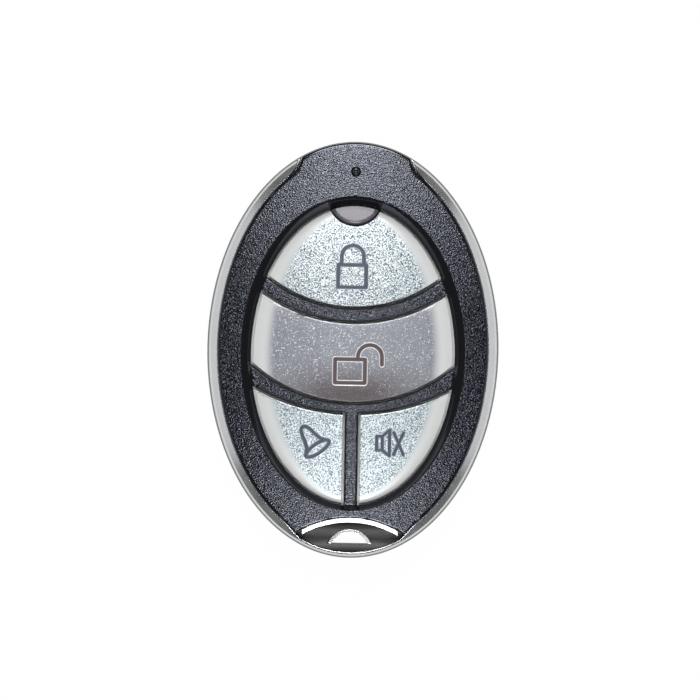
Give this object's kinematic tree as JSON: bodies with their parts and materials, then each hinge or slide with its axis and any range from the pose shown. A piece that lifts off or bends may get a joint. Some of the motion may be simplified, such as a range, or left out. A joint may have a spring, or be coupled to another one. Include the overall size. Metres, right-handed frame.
{
  "type": "garage door remote",
  "caption": "Oval pocket remote with a cast metal frame, black textured cover, four silver buttons, a half-moon indicator lens and a key-ring eye.",
  "frame": {"origin": "centre of the remote's outline, on the flat back that it rests on", "axes": "+Z out of the front through the buttons, +Y along the remote from the key-ring eye to the indicator lens, +X to the right seen from the front"},
  "size_m": [0.042, 0.06, 0.013],
  "materials": {
    "frame_metal": "satin chrome on cast zinc alloy",
    "black_plastic": "black moulded plastic with a fine spark texture",
    "silver_paint": "metallic silver paint with visible flakes on moulded plastic",
    "smoked_lens": "smoked translucent plastic",
    "screw_steel": "zinc-plated steel",
    "board": "green solder mask on glass-fibre board",
    "copper": "bare copper track",
    "cell_steel": "nickel-plated steel",
    "led_white": "white moulded housing",
    "chip_black": "black moulded resin",
    "tin": "tinned metal",
    "capacitor_tan": "tan ceramic",
    "plunger_white": "white moulded plastic"
  },
  "bodies": {
    "case": {"metal_frame": "frame_metal", "front_cover": "black_plastic", "rear_cover": "black_plastic", "keyring_insert": "black_plastic", "indicator_lens": "smoked_lens", "case_screws": "screw_steel", "circuit_board": "board", "antenna_track": "copper", "coin_cell": "cell_steel", "battery_clip": "cell_steel", "cell_contact": "cell_steel", "indicator_led": "led_white", "encoder_chip": "chip_black", "encoder_pins": "tin", "saw_resonator": "tin", "rf_transistor": "chip_black", "chip_resistors": "chip_black", "chip_capacitors": "capacitor_tan", "switch_terminals": "tin", "lock_switch_base": "chip_black", "lock_switch_plate": "cell_steel", "unlock_switch_base": "chip_black", "unlock_switch_plate": "cell_steel", "bell_switch_base": "chip_black", "bell_switch_plate": "cell_steel", "mute_switch_base": "chip_black", "mute_switch_plate": "cell_steel"},
    "lock_button": {"lock_button": "silver_paint"},
    "lock_plunger": {"lock_switch_plunger": "plunger_white"},
    "unlock_button": {"unlock_button": "silver_paint"},
    "unlock_plunger": {"unlock_switch_plunger": "plunger_white"},
    "bell_button": {"bell_button": "silver_paint"},
    "bell_plunger": {"bell_switch_plunger": "plunger_white"},
    "mute_button": {"mute_button": "silver_paint"},
    "mute_plunger": {"mute_switch_plunger": "plunger_white"}
  },
  "joints": [
    {"name": "lock_press", "type": "slide", "parent": "case", "child": "lock_button", "axis": [0, 0, -1], "range_m": [0, 0.00025], "stiffness_N_per_m": 6000},
    {"name": "lock_plunger_press", "type": "slide", "parent": "case", "child": "lock_plunger", "axis": [0, 0, -1], "range_m": [0, 0.00025]},
    {"name": "unlock_press", "type": "slide", "parent": "case", "child": "unlock_button", "axis": [0, 0, -1], "range_m": [0, 0.00025], "stiffness_N_per_m": 6000},
    {"name": "unlock_plunger_press", "type": "slide", "parent": "case", "child": "unlock_plunger", "axis": [0, 0, -1], "range_m": [0, 0.00025]},
    {"name": "bell_press", "type": "slide", "parent": "case", "child": "bell_button", "axis": [0, 0, -1], "range_m": [0, 0.00025], "stiffness_N_per_m": 6000},
    {"name": "bell_plunger_press", "type": "slide", "parent": "case", "child": "bell_plunger", "axis": [0, 0, -1], "range_m": [0, 0.00025]},
    {"name": "mute_press", "type": "slide", "parent": "case", "child": "mute_button", "axis": [0, 0, -1], "range_m": [0, 0.00025], "stiffness_N_per_m": 6000},
    {"name": "mute_plunger_press", "type": "slide", "parent": "case", "child": "mute_plunger", "axis": [0, 0, -1], "range_m": [0, 0.00025]}
  ],
  "couplings": [
    {"joint": "lock_plunger_press", "follows": "lock_press", "ratio": 1},
    {"joint": "unlock_plunger_press", "follows": "unlock_press", "ratio": 1},
    {"joint": "bell_plunger_press", "follows": "bell_press", "ratio": 1},
    {"joint": "mute_plunger_press", "follows": "mute_press", "ratio": 1}
  ]
}
